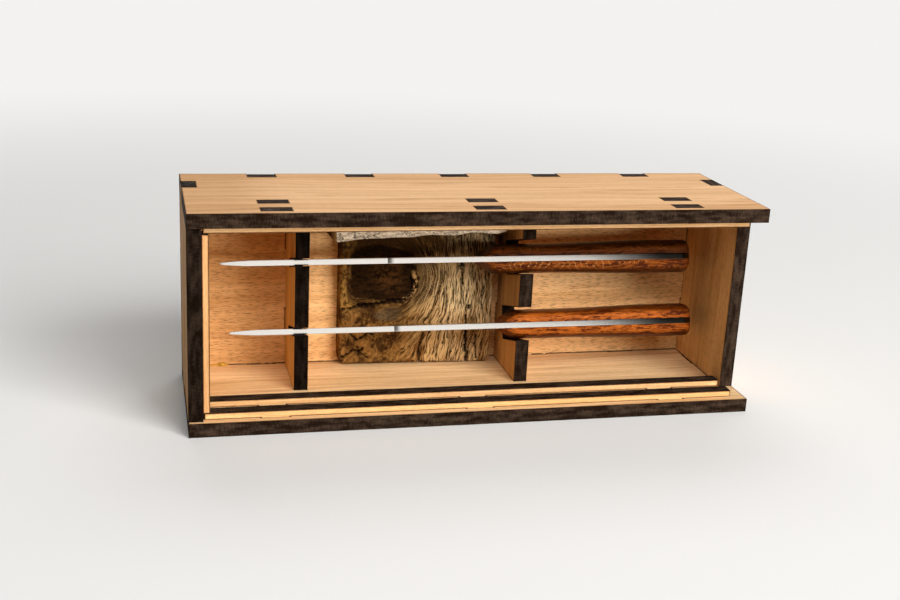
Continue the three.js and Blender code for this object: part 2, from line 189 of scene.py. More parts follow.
class BlockSettings(bpy.types.PropertyGroup):
    grid: length("Grid", "Distance between the points of the block's skin", 0.45 * MM)
    relief: length("Relief", "Depth of the hollows between the fibres", 0.55 * MM)
    crack_depth: length("Crack depth", "Depth of the cracks", 1.6 * MM)
    knot_depth: length("Knot depth", "How far the knot lies below the face", 1.2 * MM)
    seed: FloatProperty(name="Seed", description="Changes the pattern of the fibres", default=4.0)
    pale_fibre: colour("Pale fibre", "Weathered tips of the fibres", (0.95, 0.67, 0.335))
    brown_fibre: colour("Brown fibre", "Wood between the fibres", (0.33, 0.155, 0.043))
    hollow: colour("Hollow", "Bottom of cracks and hollows", (0.036, 0.015, 0.0045))
    # The ledge's grey, drawn paler than its wood as painted light
    ledge_grey_and_light: colour("Weathered", "Grey wood of the ledge", (1.0, 0.86, 0.65))


class StageSettings(bpy.types.PropertyGroup):
    camera: FloatVectorProperty(
        name="Camera", description="Place of the camera",
        default=(-0.14835, -0.55711, 0.224545), subtype="TRANSLATION", unit="LENGTH", precision=5,
    )
    target: FloatVectorProperty(
        name="Target", description="Point that the camera looks at",
        default=(-0.00768, 0.0, 0.04673), subtype="TRANSLATION", unit="LENGTH", precision=5,
    )
    roll: FloatProperty(
        name="Roll", description="Turn of the camera about its own axis", default=radians(2.846),
        subtype="ANGLE",
    )
    lens: FloatProperty(
        name="Lens", description="Focal length on a sensor 36 mm wide", default=51.32, unit="CAMERA"
    )
    key: level("Key light", "Level of the main light", 0.88)
    fill: level("Fill light", "Level of the light in front", 0.42)
    low: level("Low light", "Level of the low light at the right front", 0.58)
    rear: level("Rear light", "Level of the light from behind", 0.29)
    ambient: level("Ambient", "Level of the light from all round", 0.06)
    floor: colour("Floor", "Pale floor under the case", (0.86, 0.85, 0.83))
    floor_light: colour("Floor light", "Light that the floor throws back", (0.40, 0.31, 0.23))
    background: colour("Background", "Pale background", (0.90, 0.89, 0.875))
    screen: colour("Screen", "Dark screens at the sides, seen in the steel", (0.030, 0.016, 0.006))


# ---- Node trees ----


def joined(operation):
    """A method that sends a value, and what it is joined with, through one Math node."""
    return lambda self, *others: self.math(operation, self, *others)


class Value:
    """A number from a node, so that a formula in a tree reads as written."""

    def __init__(self, web, socket):
        self.web, self.socket = web, socket

    def math(self, operation, *values, clamp=False):
        plugs = dict(enumerate(values))
        node = self.web.put("ShaderNodeMath", plugs, operation=operation, use_clamp=clamp)
        return Value(self.web, node.outputs[0])

    __add__ = __radd__ = joined("ADD")
    __mul__ = __rmul__ = joined("MULTIPLY")
    __sub__ = joined("SUBTRACT")
    __truediv__ = joined("DIVIDE")
    __pow__ = joined("POWER")
    __abs__ = joined("ABSOLUTE")
    greatest = joined("MAXIMUM")

    def __rsub__(self, other):
        return self.math("SUBTRACT", other, self)

    def clamped(self):
        return self.math("ADD", self, 0.0, clamp=True)

    def ease(self, start, end):
        """A soft step from 0 at start to 1 at end, whichever of the two is greater."""
        plugs = {"Value": self, "From Min": start, "From Max": end}
        node = self.web.put("ShaderNodeMapRange", plugs, interpolation_type="SMOOTHSTEP")
        return Value(self.web, node.outputs[0])


class Web:
    """A node tree with short ways to write its nodes and links."""

    def __init__(self, tree):
        self.tree = tree

    def put(self, kind, plugs=None, **settings):
        node = self.tree.nodes.new(kind)
        for name, value in settings.items():
            setattr(node, name, value)
        for key, value in (plugs or {}).items():
            self.plug(node.inputs[key], value)
        return node

    def plug(self, socket, value):
        if isinstance(value, Value):
            value = value.socket
        if isinstance(value, bpy.types.NodeSocket):
            self.tree.links.new(value, socket)
        elif socket.type == "RGBA":
            socket.default_value = (*value[:3], 1)
        else:
            socket.default_value = value

    def vector(self, x, y, z):
        return self.put("ShaderNodeCombineXYZ", {0: x, 1: y, 2: z}).outputs[0]

    def split(self, vector):
        node = self.put("ShaderNodeSeparateXYZ", {0: vector})
        return [Value(self, socket) for socket in node.outputs]

    def noise(self, vector, detail=2, roughness=0.5):
        plugs = {"Vector": vector, "Scale": 1.0, "Detail": detail, "Roughness": roughness}
        return Value(self, self.put("ShaderNodeTexNoise", plugs).outputs[0])

    def pattern(self, vector, scale, seed, detail, roughness=0.5):
        """Noise drawn out or squeezed along each axis, in a place of its own for each seed."""
        plugs = {0: vector, 1: scale, 2: (seed * 7.3, seed * 3.1, seed * 5.7)}
        moved = self.put("ShaderNodeVectorMath", plugs, operation="MULTIPLY_ADD").outputs[0]
        return self.noise(moved, detail, roughness)

    def named(self, name):
        """An attribute of the points of a mesh."""
        node = self.put("GeometryNodeInputNamedAttribute", {"Name": name}, data_type="FLOAT")
        return Value(self, node.outputs[0])

    def spots(self, vector):
        """Distance to the nearest of points scattered on a plane, and two numbers of its own."""
        node = self.put(
            "ShaderNodeTexVoronoi", {"Vector": vector, "Scale": 1.0, "Exponent": 1.35},
            voronoi_dimensions="2D", distance="MINKOWSKI",
        )
        return Value(self, node.outputs["Distance"]), *self.split(node.outputs["Color"])[:2]

    def mix(self, share, first, second, blend="MIX"):
        plugs = {0: share, 6: first, 7: second}
        node = self.put("ShaderNodeMix", plugs, data_type="RGBA", blend_type=blend)
        return node.outputs[2]


class Finish(Web):
    """A material whose patterns are written in millimetres."""

    def __init__(self, name, specular=0.5, **plugs):
        self.material = bpy.data.materials.new(name)
        self.material.use_nodes = True
        super().__init__(self.material.node_tree)
        self.tree.nodes.clear()
        plugs["Specular IOR Level"] = specular
        self.shader = self.put("ShaderNodeBsdfPrincipled", plugs)
        self.put("ShaderNodeOutputMaterial", {0: self.shader.outputs[0]})

    def place(self, turn=0.0):
        """The object's own coordinates, turned about X."""
        where = self.put("ShaderNodeTexCoord").outputs["Object"]
        plugs = {"Vector": where, "Rotation": (turn, 0, 0), "Scale": (1 / MM,) * 3}
        return self.put("ShaderNodeMapping", plugs).outputs[0]

    def attribute(self, name):
        return Value(self, self.put("ShaderNodeAttribute", attribute_name=name).outputs["Fac"])

    def set(self, name, value):
        self.plug(self.shader.inputs[name], value)

    def done(self, colour, roughness, height, depth):
        """The material, with relief whose height runs from 0 to 1 over the given depth."""
        bump = self.put("ShaderNodeBump", {"Height": height, "Distance": depth, "Strength": 1.0})
        self.set("Base Color", colour)
        self.set("Roughness", roughness)
        self.set("Normal", bump.outputs[0])
        return self.material


def toned(colour, *shares):
    """A colour made darker or lighter, by one share or by one for each of its three parts."""
    return tuple(part * share for part, share in zip(colour, shares * (3 // len(shares))))


def seen_directly(web):
    """1 where a surface is seen by the camera, in a reflection or through glass, not lit by it."""
    path = web.put("ShaderNodeLightPath").outputs
    seen = Value(web, path["Is Camera Ray"]).greatest(Value(web, path["Is Glossy Ray"]))
    return seen.greatest(Value(web, path["Is Transmission Ray"]))


# ---- Finishes ----


def beech_finish(name, axes, seed, settings, tint):
    """Beech with soft bands, long fine lines and short flecks, charred where it is cut."""
    finish = Finish(name, 0.03, IOR=1.45)
    mix, pattern = finish.mix, finish.pattern
    place = finish.split(finish.place())
    along, across, through = (place["XYZ".index(axis)] for axis in axes)
    grain = finish.vector(along, across, through)
    drift = pattern(grain, (0.009, 0.045, 0.045), seed, 2)
    flow = finish.vector(along, across + (drift - 0.5) * 14, through)
    bands = pattern(flow, (0.0035, 0.16, 0.16), seed + 3, 4, 0.6)
    lines = pattern(flow, (0.011, 0.95, 0.95), seed + 5, 5, 0.64)
    pores = pattern(grain, (0.35, 5.5, 5.5), seed + 7, 2)
    figure = pattern(flow, (0.016, 0.24, 0.24), seed + 23, 5, 0.66)

    # Flecks: three layers of pointed spots, drawn long along the grain
    marks = []
    slanted = across - along * 0.02 + (drift - 0.5) * 1.4
    for pitch, high, start, share in (
        (5.8, 0.66, 0, 1.0), (4.4, 0.52, 40, 0.8), (7.5, 0.80, 90, 0.8)
    ):
        where = (along + through * 9 + start) / pitch, (slanted + through * 5) / high, 0.0
        spot, own, dark = finish.spots(finish.vector(*where))
        marks.append((spot / (0.15 + own * 0.27)).ease(1.0, 0.35) * dark.ease(0.0, 0.8) * share)
    fleck = marks[0].greatest(marks[1]).greatest(marks[2]) * FLECKS.get(name, 0.4)

    tone = (bands - 0.5) * 2.0 + (lines - 0.5) * LINES.get(name, 1.7) + (pores - 0.5) * 0.5 + 0.58
    wood = mix(tone.clamped(), settings.deep_wood, settings.light_wood)
    wood = mix(figure.ease(0.52, 0.72) * 0.55, wood, settings.figure)
    wood = mix(fleck * 0.68, wood, settings.fleck)
    wood = mix(1.0, wood, tint, "MULTIPLY")
    # Painted shade, browner and darker, towards the sheet's left end
    if name in LEFT_END_SHADE:
        brown = (place[0] + (bands - 0.5) * 30).ease(*LEFT_END_SHADE[name])
        wood = mix(brown * 0.8, wood, (0.78, 0.73, 0.66), "MULTIPLY")

    # Each cut edge is burnt, with streaks through the sheet and a brown rim beside it
    ragged = pattern(grain, (0.9, 0.9, 0.9), seed + 11, 3)
    burnt = finish.attribute("char") + (ragged - 0.5) * 0.35
    streaks = pattern(grain, (1.9, 1.9, 0.45), seed + 13, 4, 0.7)
    patches = pattern(grain, (0.12, 0.3, 0.5), seed + 17, 3)
    sheen = ((streaks - 0.5) * 1.9 + (patches - 0.5) * 2.6 + 0.32).clamped()
    char = mix(sheen, settings.char, settings.char_sheen)
    char = mix(patches.ease(0.48, 0.66) * streaks.ease(0.48, 0.68) * 0.6, char, settings.ember)
    char = mix(1.0, char, (EDGE_DARKNESS.get(name, 1.0),) * 3, "MULTIPLY")
    wood = mix(burnt.ease(0.05, 0.62) * 0.85, wood, settings.scorch)
    if name in SEAMS:
        broken = pattern(grain, (0.35, 0.35, 0.35), seed + 19, 3)
        seam = abs(place[2] - SEAMS[name]).ease(0.75, 0.1)
        wood = mix(seam * broken.ease(0.34, 0.50) * 0.9, wood, settings.seam)

    bare = burnt.ease(0.8, 0.3)
    roughness = (0.52 + (lines - 0.5) * 0.25) * bare + (0.66 - sheen * 0.18) * (1 - bare)
    relief = (lines - 0.5) * 0.55 + (pores - 0.5) * 0.5 - fleck * 0.5
    relief = relief * bare + (streaks - 0.5) * 2.4 * (1 - bare)
    return finish.done(mix(burnt.ease(0.5, 0.85), wood, char), roughness, relief, 0.07 * MM)


def steel_finish(name, settings):
    """Satin steel, brushed along the knife; returns its web, its coordinates and its colour too."""
    finish = Finish(name, Metallic=1.0)
    place = finish.place(KNIFE_TILT)
    fine = finish.pattern(place, (0.05, 16, 16), 0, 3, 0.7)
    broad = finish.pattern(place, (0.02, 1.6, 1.6), 3, 3)
    smudge = finish.pattern(place, (0.10, 0.22, 0.22), 5, 3)
    shade = (0.5 + (fine - 0.5) * 0.7 + (broad - 0.5) * 0.8).clamped()
    steel = finish.mix(shade, toned(settings.steel, 0.93), settings.steel)
    roughness = 0.16 + (fine - 0.5) * 0.10 + (smudge - 0.5) * 0.08
    finish.done(steel, roughness, fine * 0.7 + broad * 0.3, 0.012 * MM)
    return finish, finish.split(place)[0], steel


def blade_finish(name, settings, low, high):
    """Steel with painted dark reflections in the scoop and towards the butt, between two places
    along X.
    """
    finish, along, steel = steel_finish(name, settings)
    # Painted dark reflection in the scoop: sharp at its step, fading along its hollow
    past = along - (low + settings.ground) / MM
    worn = past.ease(-0.1, 0.1) * past.ease(3.9, 0.3)
    steel = finish.mix(worn * 0.55, steel, settings.scoop_reflection)
    # Painted dark reflection on the tang, growing towards the butt
    tang_reflection_share = along.ease(high / MM - 62, high / MM - 12)
    finish.set("Base Color", finish.mix(tang_reflection_share * 0.96, steel, settings.tang_reflection))
    return finish.material


def handle_finish(name, wood, glow, curls, seed, tang, side):
    """Oiled hardwood, streaked along, with thin pale curls across and painted shade at its rounded
    edge.
    """
    finish = Finish(name, 0.13, IOR=1.5)
    mix, pattern = finish.mix, finish.pattern
    place = finish.place(KNIFE_TILT)
    along, across, up = finish.split(place)
    warp = pattern(place, (0.045, 0.16, 0.16), seed, 3)
    flow = finish.vector(along, across + (warp - 0.5) * 11, up + (warp - 0.5) * 9)
    bands = pattern(flow, (0.05, 0.55, 0.55), seed + 3, 4, 0.62)
    fine = pattern(flow, (0.11, 1.7, 1.7), seed + 5, 4, 0.66)
    pores = pattern(flow, (0.45, 6.0, 6.0), seed + 7, 1).ease(0.58, 0.70)
    flame = pattern(flow, (0.10, 0.75, 0.75), seed + 15, 4, 0.6).ease(0.44, 0.60)
    tone = ((bands - 0.5) * 3.8 + (fine - 0.5) * 4.0 + 0.42).clamped()
    shadow = toned(wood, 0.20, 0.13, 0.11)
    body = mix(tone.ease(0.0, 0.62), shadow, wood)
    body = mix(tone.ease(0.5, 1.0) * flame * glow, body, toned(wood, 1.45, 1.6, 1.8))
    body = mix(pores * 0.65, body, toned(shadow, 0.4))

    # Curls: thin slanted lines, in zones along the handle
    slant = along + up * 0.75 + (warp - 0.5) * 17
    wave = finish.put("ShaderNodeTexWave", {
        "Vector": finish.vector(slant * 0.095, across * 0.004, 0.0), "Scale": 1.0,
        "Distortion": 1.8, "Detail": 2.0, "Detail Scale": 1.5,
    })
    line = Value(finish, wave.outputs["Fac"]).ease(0.95, 0.995) * fine.ease(0.36, 0.52)
    zone = pattern(place, (0.03, 0.15, 0.40), seed + 9, 1).ease(0.50, 0.58)
    body = mix(line * zone * curls, body, (0.70, 0.34, 0.095))
    # Painted shade along the scale's rounded outer edge
    rim = ((up - tang) * side + (warp - 0.5) * 2).ease(4.0, 6.4)
    body = mix(rim * 0.75, body, toned(shadow, 0.5))
    relief = fine * 0.6 - pores * 0.7 + bands * 0.6
    return finish.done(body, 0.34 + (fine - 0.5) * 0.26, relief, 0.07 * MM)


def old_wood_finish(name, settings):
    """Weathered wood: pale fibres between dark splits, a dark knot and a grey ledge."""
    finish = Finish(name, 0.04, IOR=1.4)
    mix, pattern = finish.mix, finish.pattern
    place = finish.place()
    x, y, z = finish.split(place)
    flow, knot, ledge, crack, hollow = (
        finish.attribute(part) for part in ("flow", "knot", "ledge", "crack", "hollow")
    )
    wiggle = pattern(place, (0.30, 0.30, 0.17), 10, 2)
    grain = finish.vector(flow + (wiggle - 0.5) * 2.4, y, z)
    splits = pattern(grain, (1.75, 0.9, 0.115), 2, 3, 0.66)
    threads = pattern(grain, (2.5, 1.3, 0.21), 3, 4, 0.74)
    strands = pattern(grain, (0.26, 0.3, 0.022), 4, 3, 0.55)
    mottle = pattern(place, (0.10, 0.10, 0.10), 6, 4, 0.6)
    crumbs = pattern(place, (0.62, 0.62, 0.62), 8, 5, 0.72)
    between_threads = (1.15 - threads).clamped()

    # Lighter towards the right and higher up, partly paler wood and partly painted light from the
    # right; the strip under the ledge, darkest at the left, has painted shade
    bleach_and_light = x.ease(-31, 10) * (0.6 + 0.4 * z.ease(14, 44))
    under_ledge_shade = (z + (mottle - 0.5) * 24).ease(58, 69) * (1 - x.ease(-6, 16) * 0.75)
    tone = (threads - 0.5) * 3.3 + (strands - 0.5) * 2.2 + (mottle - 0.5) * 1.6 + 0.52
    tone = (tone + bleach_and_light * 0.18 - hollow * 0.35 - under_ledge_shade * 0.5).clamped()
    brown = mix(bleach_and_light, (0.150, 0.060, 0.014), settings.brown_fibre)
    pale = mix(bleach_and_light, (0.47, 0.24, 0.064), settings.pale_fibre)
    wood = mix(tone, brown, pale)
    gap = (splits + (threads - 0.5) * 0.3 - hollow * 0.06 - under_ledge_shade * 0.07).ease(0.475, 0.40)
    wood = mix(gap * 0.92, wood, settings.hollow)
    # Painted shade under the ledge, strongest at the left, in the hollows between the threads
    ledge_shadow = (z + (mottle - 0.5) * 8).ease(53, 59) * x.ease(-10, -24)
    wood = mix(ledge_shadow.greatest(under_ledge_shade * 0.8) * between_threads, wood, (0.058, 0.026, 0.008))

    # The left foot is rotten: ochre crumbs, dark patches and a grey smear
    foot = (z + (mottle - 0.5) * 10).ease(41, 35) * (x + (crumbs - 0.5) * 14).ease(-20, -31)
    ochre = (crumbs * 0.6 + mottle * 0.5).ease(0.46, 0.66)
    rot = mix(ochre, (0.034, 0.013, 0.004), (0.31, 0.145, 0.036))
    rot = mix(mottle.ease(0.50, 0.40) * 0.85, rot, (0.040, 0.016, 0.005))
    smear = (abs((x + 31) / 8) ** 2 + abs((z - x * 0.1 - 35.5) / 4) ** 2).ease(1.3, 0.3)
    rot = mix(smear * crumbs.ease(0.3, 0.5) * 0.8, rot, (0.135, 0.098, 0.052))
    wood = mix(foot * 0.88, wood, rot)

    # Knot: dark and patchy, browner in its middle, with a pale broken rim at its right
    core = (knot + (crumbs - 0.5) * 0.16).ease(1.04, 0.90)
    streaks = finish.noise(finish.vector(x * 0.17, y * 0.3, (z + x * 0.06) * 0.42), 6, 0.74)
    patchy = (streaks * 1.7 + crumbs * 1.3 - 1.15).clamped()
    grime = mix(patchy, (0.006, 0.003, 0.0015), (0.045, 0.019, 0.0055))
    heart = knot.ease(0.85, 0.25) * x.ease(-46, -34)
    heart = heart * (streaks * 0.6 + crumbs * 0.4).ease(0.44, 0.60)
    grime = mix(heart * 0.7, grime, (0.105, 0.040, 0.010))
    wood = mix(core, wood, grime)
    rim = knot.ease(0.78, 0.85) * knot.ease(0.95, 0.88) * x.ease(-30, -24) * crumbs.ease(0.48, 0.56)
    wood = mix(rim * z.ease(56, 50) * 0.9, wood, (0.66, 0.36, 0.13))
    halo = knot.ease(0.94, 1.02) * knot.ease(1.55, 1.10) * (1 - x.ease(-24, -10) * 0.35)
    wood = mix(halo * between_threads * 0.95, wood, (0.036, 0.015, 0.005))
    bark = knot.ease(1.5, 1.18) * knot.ease(1.0, 1.1) * x.ease(-47, -52) * crumbs.ease(0.4, 0.56)
    wood = mix(bark * 0.75, wood, (0.50, 0.25, 0.055))

    # Ledge: grey, cracked mostly along it, and drawn paler than its wood as painted light
    bent = finish.vector(x * 0.16 + z * 0.10, y * 0.5, (z + (mottle - 0.5) * 14) * 0.42)
    creases = finish.noise(bent, 3, 0.6)
    wrinkles = pattern(place, (0.22, 0.7, 1.1), 9, 5, 0.68)
    shade = ((wrinkles - 0.5) * 3.8 + (crumbs - 0.5) * 2.0 + 0.78).clamped()
    line = abs(creases - 0.5).ease(0.036, 0.006) * wrinkles.ease(0.40, 0.54)
    grey = mix(shade, (0.38, 0.26, 0.155), settings.ledge_grey_and_light)
    grey = mix(line * 0.88, grey, (0.050, 0.026, 0.012))
    wood = mix(ledge, wood, grey)

    fibres = (1 - gap) * 0.8 + threads * 0.7 + crumbs * 0.3
    relief = fibres * (1 - core) + (streaks + crumbs * 0.5) * core
    relief = relief * (1 - ledge) + (wrinkles - line) * ledge
    colour = mix(crack * 0.97, wood, (0.006, 0.003, 0.002))
    return finish.done(colour, 0.86 - core * 0.16, relief, 0.38 * MM)


def glue_finish(name):
    """Dried amber glue."""
    finish = Finish(name, IOR=1.5)
    finish.set("Coat Weight", 0.5)
    tone = finish.pattern(finish.place(), (0.7, 0.7, 0.7), 0, 3)
    colour = finish.mix(tone.ease(0.35, 0.65), (0.36, 0.150, 0.012), (0.72, 0.42, 0.06))
    return finish.done(colour, 0.18, tone, 0.15 * MM)


# ---- Meshes ----


def add_object(name, data):
    made = bpy.data.objects.new(name, data)
    bpy.context.scene.collection.objects.link(made)
    return made


def keep_piece(name, mesh, material, body, slot, *nodes):
    """Shows a finished mesh as a piece that rides on a body and stands for CAD nodes."""
    piece = add_object(name, mesh)
    mesh.materials.clear()
    mesh.materials.append(material)
    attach(piece, body)
    if nodes:
        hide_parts(*nodes)


def check_closed(name, shape):
    if any(len(edge.link_faces) != 2 for edge in shape.edges):
        raise RuntimeError(f"{name} isn't closed")


def narrow_slots(shape, play):
    """Lowers the upper walls of the blades' slots until they lie this far above the blades."""
    settings = bpy.context.scene.case_knives
    wall, tolerance = settings.stock / 2 + SLOT_PLAY, 0.05 * MM
    for knife in KNIVES:
        to_knife = knife_place(knife, settings).inverted()
        found = [vert for vert in shape.verts if abs((to_knife @ vert.co).z - wall) < tolerance]
        if len(found) != 4:
            raise RuntimeError(f"the slot of {knife} has {len(found)} corners above, not 4")
        for vert in found:
            vert.co.z -= (SLOT_PLAY - play) / np.cos(KNIFE_TILT)


def cut_sheet(name, node, through, settings):
    """A copy of a CAD sheet with worn edges, and with how far it is burnt on each point."""
    shape = bmesh.new()
    shape.from_mesh(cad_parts[node].data)
    bmesh.ops.remove_doubles(shape, verts=shape.verts, dist=1e-6)
    bmesh.ops.dissolve_limit(shape, angle_limit=radians(1), verts=shape.verts, edges=shape.edges)
    if node == "blade_divider":
        narrow_slots(shape, settings.slot_play)
    sharp = [edge for edge in shape.edges if edge.calc_face_angle(0) > radians(10)]
    offset = settings.edge_rounding
    bmesh.ops.bevel(shape, geom=sharp, offset=offset, segments=2, profile=0.5, affect="EDGES")
    char = shape.verts.layers.float.new("char")
    for vert in shape.verts:
        vert[char] = 1.0
    low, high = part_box(node)

    def is_broad(face):
        middle = face.calc_center_median()[through]
        outermost = min(abs(middle - low[through]), abs(middle - high[through])) < 1e-6
        return outermost and abs(face.normal[through]) > 0.999

    broad = [face for face in shape.faces if is_broad(face)]
    # The scorch fades over two steps: their share of its width, and the char left after them
    for share, left in ((0.3, 0.5), (0.7, 0.0)):
        width = share * settings.scorch_width
        bmesh.ops.inset_region(shape, faces=broad, thickness=width, use_even_offset=True)
        for vert in {vert for face in broad for vert in face.verts}:
            vert[char] = left
    check_closed(name, shape)
    mesh = bpy.data.meshes.new(name)
    shape.to_mesh(mesh)
    shape.free()
    return mesh


def add_sheets(sheets, slot, settings):
    """Cuts sheets from a table, each of its own wood, by a seed from its node's name."""
    for name, node, axes in sheets:
        mesh = cut_sheet(name, node, "XYZ".index(axes[2]), settings)
        seed = 1.7 * sum(map(ord, node)) % 23
        material = beech_finish(name, axes, seed, settings, TINTS.get(name, (1, 1, 1)))
        keep_piece(name, mesh, material, "case", slot, node)


def loft(name, rings, sharp_angle):
    """A closed skin over rings of points, with flat ends."""
    count, around, _ = np.shape(rings)
    faces = []
    for i in range(count - 1):
        for j in range(around):
            a, b = i * around + j, i * around + (j + 1) % around
            faces.append((a, b, b + around, a + around))
    last = (count - 1) * around
    faces.append(tuple(range(around))[::-1])
    faces.append(tuple(range(last, last + around)))
    mesh = bpy.data.meshes.new(name)
    mesh.from_pydata(np.reshape(rings, (-1, 3)).tolist(), [], faces)
    shape = bmesh.new()
    shape.from_mesh(mesh)
    bmesh.ops.remove_doubles(shape, verts=shape.verts, dist=1e-7)
    bmesh.ops.recalc_face_normals(shape, faces=shape.faces)
    check_closed(name, shape)
    shape.to_mesh(mesh)
    shape.free()
    mesh.shade_smooth()
    mesh.set_sharp_from_angle(angle=radians(sharp_angle))
    return mesh


def grow(name, mesh, tree, values):
    """Runs a Geometry Nodes tree on a mesh and returns the plain mesh it makes."""
    base = add_object(name + "_base", mesh)
    modifier = base.modifiers.new(tree.name, "NODES")
    modifier.node_group = tree
    for item in tree.interface.items_tree:
        if item.item_type == "SOCKET" and item.in_out == "INPUT" and item.name in values:
            modifier[item.identifier] = values[item.name]
    depsgraph = bpy.context.evaluated_depsgraph_get()
    made = bpy.data.meshes.new_from_object(base.evaluated_get(depsgraph))
    made.name = name
    base.modifiers.clear()
    bpy.data.objects.remove(base)
    return made


def new_tree(name, inputs):
    """A Geometry Nodes tree with named inputs; returns its web, its geometry and those inputs."""
    tree = bpy.data.node_groups.new(name, "GeometryNodeTree")
    tree.interface.new_socket("Geometry", in_out="INPUT", socket_type="NodeSocketGeometry")
    tree.interface.new_socket("Geometry", in_out="OUTPUT", socket_type="NodeSocketGeometry")
    for label in inputs:
        tree.interface.new_socket(label, in_out="INPUT", socket_type="NodeSocketFloat")
    web = Web(tree)
    given = web.put("NodeGroupInput").outputs
    return web, given["Geometry"], *(Value(web, given[label]) for label in inputs)


def end_tree(web, geometry, material):
    """Ends a tree in Realize Instances and Set Material."""
    real = web.put("GeometryNodeRealizeInstances", {0: geometry}).outputs[0]
    painted = web.put("GeometryNodeSetMaterial", {"Geometry": real, "Material": material})
    web.put("NodeGroupOutput", {0: painted.outputs[0]})
    return web.tree


def smooth_step(value, start, end):
    share = np.clip((value - start) / (end - start), 0, 1)
    return share * share * (3 - 2 * share)


# ---- Knives ----


def knife_place(knife, settings):
    """Lays a knife's own coordinates in the case: X along it, Y from spine to edge."""
    low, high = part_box(f"{knife}_blade")
    half = settings.stock / 2
    spine_y = low.y + half * np.sin(KNIFE_TILT)
    spine_z = high.z - half * np.cos(KNIFE_TILT)
    return Matrix.Translation((high.x, spine_y, spine_z)) @ Matrix.Rotation(-KNIFE_TILT, 4, "X")


def laid(rings, place):
    """Rings given in the knife's own coordinates, laid in the case."""
    turned = np.asarray(rings) @ np.array(place.to_3x3()).T
    return turned + np.array(place.translation)


def corner_cut(distance, radius):
    """How far a round corner cuts in at a distance from the end."""
    inside = np.clip(radius - distance, 0, radius)
    return radius - np.sqrt(radius**2 - inside**2)


def handle_sides(from_butt, handle, settings):
    """The handle's outline on the spine side and on the belly side."""
    corner_radius, butt, heel, narrowing = 4 * MM, 12 * MM, 12 * MM, 1.5 * MM
    corner = corner_cut(from_butt, corner_radius)
    waist = np.clip((from_butt - butt) / (handle - butt - 30 * MM), 0, 1)
    rise = np.clip((from_butt - handle + heel) / heel, 0, 1)
    belly = settings.handle_height - narrowing * (np.sin(pi * waist) ** 2 + rise**2)
    return corner, belly - corner


def scale_rise(from_butt, handle, settings):
    """Thickness of a handle scale: bevelled at the front end, fuller towards the butt."""
    front_bevel, butt_round, fuller, lip = 6.5 * MM, 2.5 * MM, 1 * MM, 0.6 * MM
    swell_end = handle - 30 * MM
    swell = 1 - smooth_step(from_butt, swell_end - handle / 2, swell_end)
    taper = np.clip((handle - from_butt) / front_bevel, 0, 1) ** 0.8
    full = (settings.handle_height * 0.2405 + fuller * swell) * taper
    return np.maximum(lip, full - corner_cut(from_butt, butt_round))


def bar_section(spine, edge, half_spine, half_edge, rounding):
    """Half the outline of a section of the blade, in Y and Z, from the spine to the edge."""
    tall = edge - spine
    r = min(rounding, 0.7 * half_spine, tall / 8)
    e = min(rounding, 0.8 * half_edge, tall / 8)

    def half(y):
        return half_spine + (half_edge - half_spine) * (y - spine) / tall

    return (
        (spine, 0.0), (spine, half_spine - r), (spine + r * 0.12, half_spine - r * 0.5),
        (spine + r * 0.5, half_spine - r * 0.13), (spine + r, half(spine + r)),
        (spine + 3 * r, half(spine + 3 * r)), (edge - 3 * e, half(edge - 3 * e)),
        (edge - e, half(edge - e)), (edge - e * 0.3, half_edge - e * 0.3),
        (edge, half_edge - e), (edge, 0.0),
    )


def blade_rings(knife_length, handle, settings):
    """Sections of blade and tang from the tip to the butt, in the knife's own coordinates."""
    s = settings
    plunge, tip_taper, tip_drop, tip_edge = 4 * MM, 13 * MM, 4 * MM, 4.6 * MM
    sharp_half, rounding = 0.15 * MM, 0.28 * MM
    stations = np.concatenate([
        s.ground * np.linspace(0, 1, 70)[:-1] ** 1.4,
        s.ground + s.scoop_width * np.array([0, 0.03, 0.06, 0.1, *np.linspace(0.15, 1, 12)]),
        [s.ground + plunge, s.ground + plunge + 1 * MM],
        np.linspace(s.ground + 10 * MM, knife_length - handle - 0.3 * MM, 12),
        knife_length - handle / 2 * (1 + np.cos(pi * np.linspace(0, 1, 61))),
    ])
    rings = []
    for at in stations:
        spine, edge, half_spine, half_edge = 0.0, s.height, s.stock / 2, s.stock / 2
        if at <= s.ground:
            share = at / s.ground
            spine = tip_drop * (1 - share) ** 2
            edge = tip_edge + (s.height - tip_edge) * (1 - (1 - share) ** 2.2)
            half_spine = s.stock / 2 * min(1, 0.02 + at / tip_taper) ** 0.36
            half_edge = min(sharp_half, half_spine)
        elif at < s.ground + plunge:
            share = (at - s.ground) / plunge
            half_edge = sharp_half + (s.stock / 2 - sharp_half) * share
        if knife_length - at <= handle:
            spine, edge = handle_sides(knife_length - at, handle, s)
        # The scoop: a step down, then a long hollow back up to the spine
        share = (at - s.ground) / s.scoop_width
        if 0 < share < 1:
            spine = spine + s.scoop_depth * min(1, share / 0.08) * (1 - share) ** 1.7
        half = bar_section(spine, edge, half_spine, half_edge, rounding)
        x = at - knife_length
        rings.append([(x, y, z) for y, z in half] + [(x, y, -z) for y, z in half[-2:0:-1]])
    return rings


def scale_rings(handle, side, settings):
    """Sections of a handle scale: flat against the tang, rounded outside."""
    off_tang, proud, squareness = 0.06 * MM, 0.24 * MM, 0.67
    turn = np.linspace(0, pi, 30)
    across = np.sign(np.cos(turn)) * np.abs(np.cos(turn)) ** squareness
    up = np.abs(np.sin(turn)) ** squareness
    rings = []
    for share in np.linspace(0, 1, 91):
        from_butt = handle / 2 * (1 + np.cos(pi * share))
        spine, belly = handle_sides(from_butt, handle, settings)
        rise = scale_rise(from_butt, handle, settings) + proud
        rings.append(np.stack([
            np.full(len(turn), -from_butt),
            (spine + belly) / 2 + across * (belly - spine) / 2,
            side * (settings.stock / 2 + off_tang + rise * up),
        ], axis=1))
    return rings


